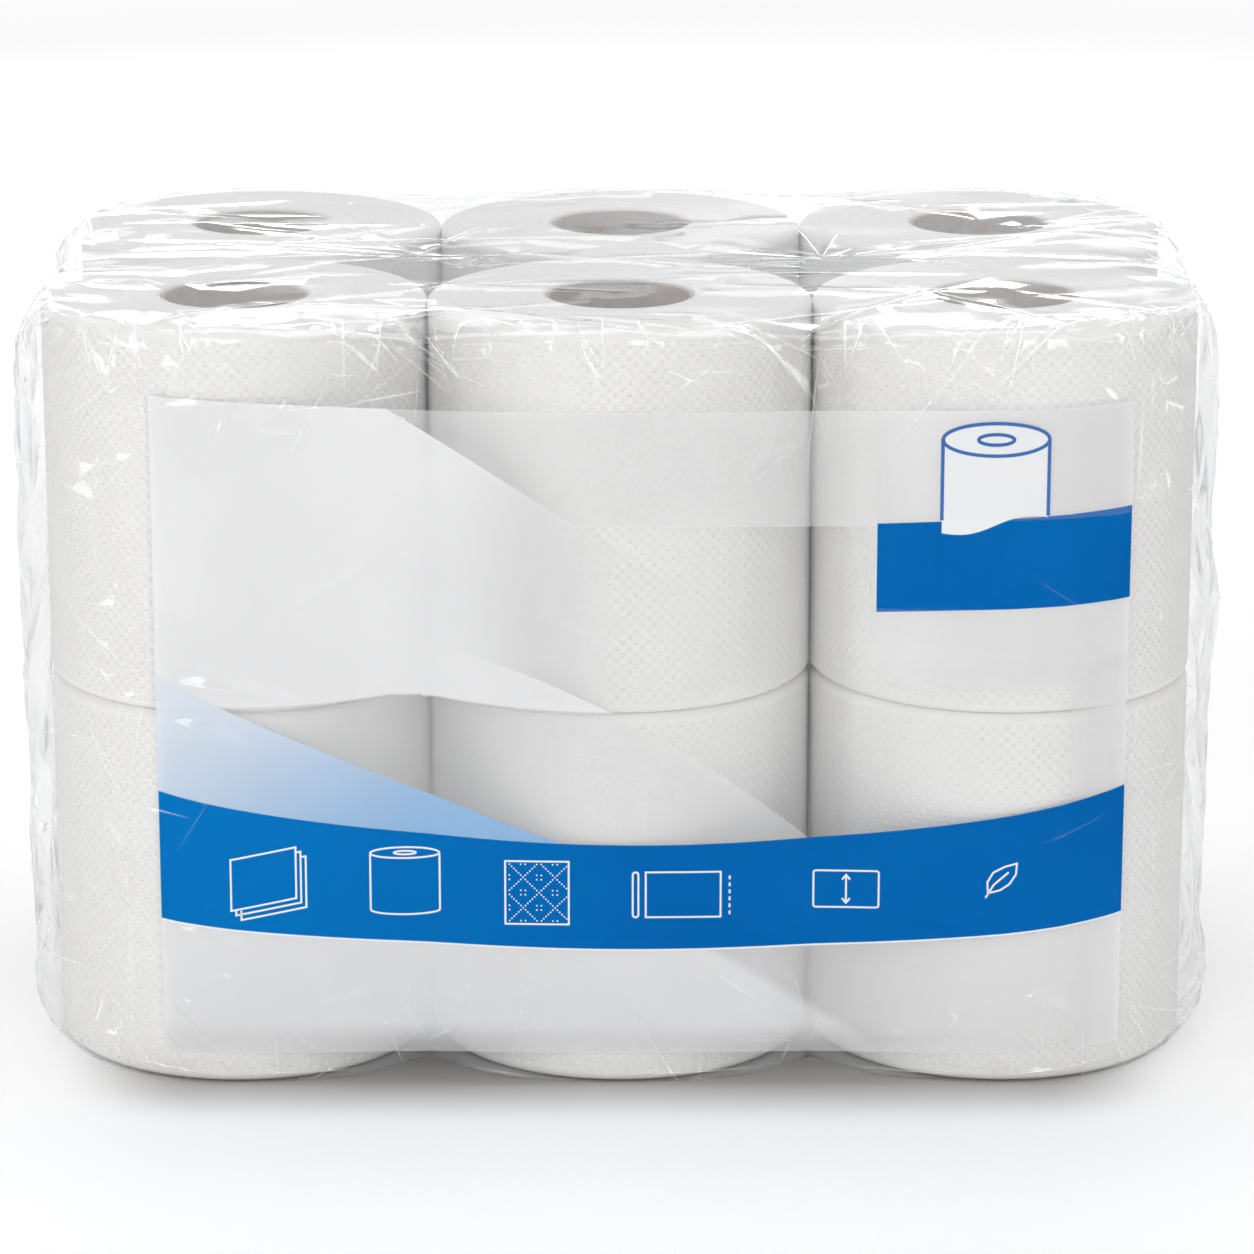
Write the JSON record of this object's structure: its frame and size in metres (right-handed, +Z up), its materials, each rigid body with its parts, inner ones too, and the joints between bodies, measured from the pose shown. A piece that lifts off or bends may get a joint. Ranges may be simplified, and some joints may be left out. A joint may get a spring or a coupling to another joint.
{
  "type": "toilet paper roll pack",
  "caption": "Sealed clear film pack of white toilet paper rolls in two layers, each roll on a cardboard core, with a printed panel on its front.",
  "frame": {"origin": "middle of the foot, on the surface that the pack stands on", "axes": "+X along the front to the right, +Y from the front to the back, +Z up along the rolls"},
  "size_m": [0.2988, 0.1946, 0.192],
  "materials": {
    "tissue": "soft matte, embossed with small dots",
    "core_board": "grey-brown cardboard, matte",
    "clear_film": "thin clear glossy film, creased",
    "panel_print": "milky see-through print under gloss",
    "sweep_print": "pale blue see-through print under gloss",
    "blue_print": "solid blue print under gloss"
  },
  "bodies": {
    "root": {"core_back_left_bottom": "core_board", "core_back_left_top": "core_board", "core_back_middle_bottom": "core_board", "core_back_middle_top": "core_board", "core_back_right_bottom": "core_board", "core_back_right_top": "core_board", "core_front_left_bottom": "core_board", "core_front_left_top": "core_board", "core_front_middle_bottom": "core_board", "core_front_middle_top": "core_board", "core_front_right_bottom": "core_board", "core_front_right_top": "core_board", "film_wrap": "clear_film", "print_band": "blue_print", "print_banner": "blue_print", "print_panel": "panel_print", "print_sweep": "sweep_print", "roll_back_left_bottom": "tissue", "roll_back_left_top": "tissue", "roll_back_middle_bottom": "tissue", "roll_back_middle_top": "tissue", "roll_back_right_bottom": "tissue", "roll_back_right_top": "tissue", "roll_front_left_bottom": "tissue", "roll_front_left_top": "tissue", "roll_front_middle_bottom": "tissue", "roll_front_middle_top": "tissue", "roll_front_right_bottom": "tissue", "roll_front_right_top": "tissue"}
  },
  "joints": []
}
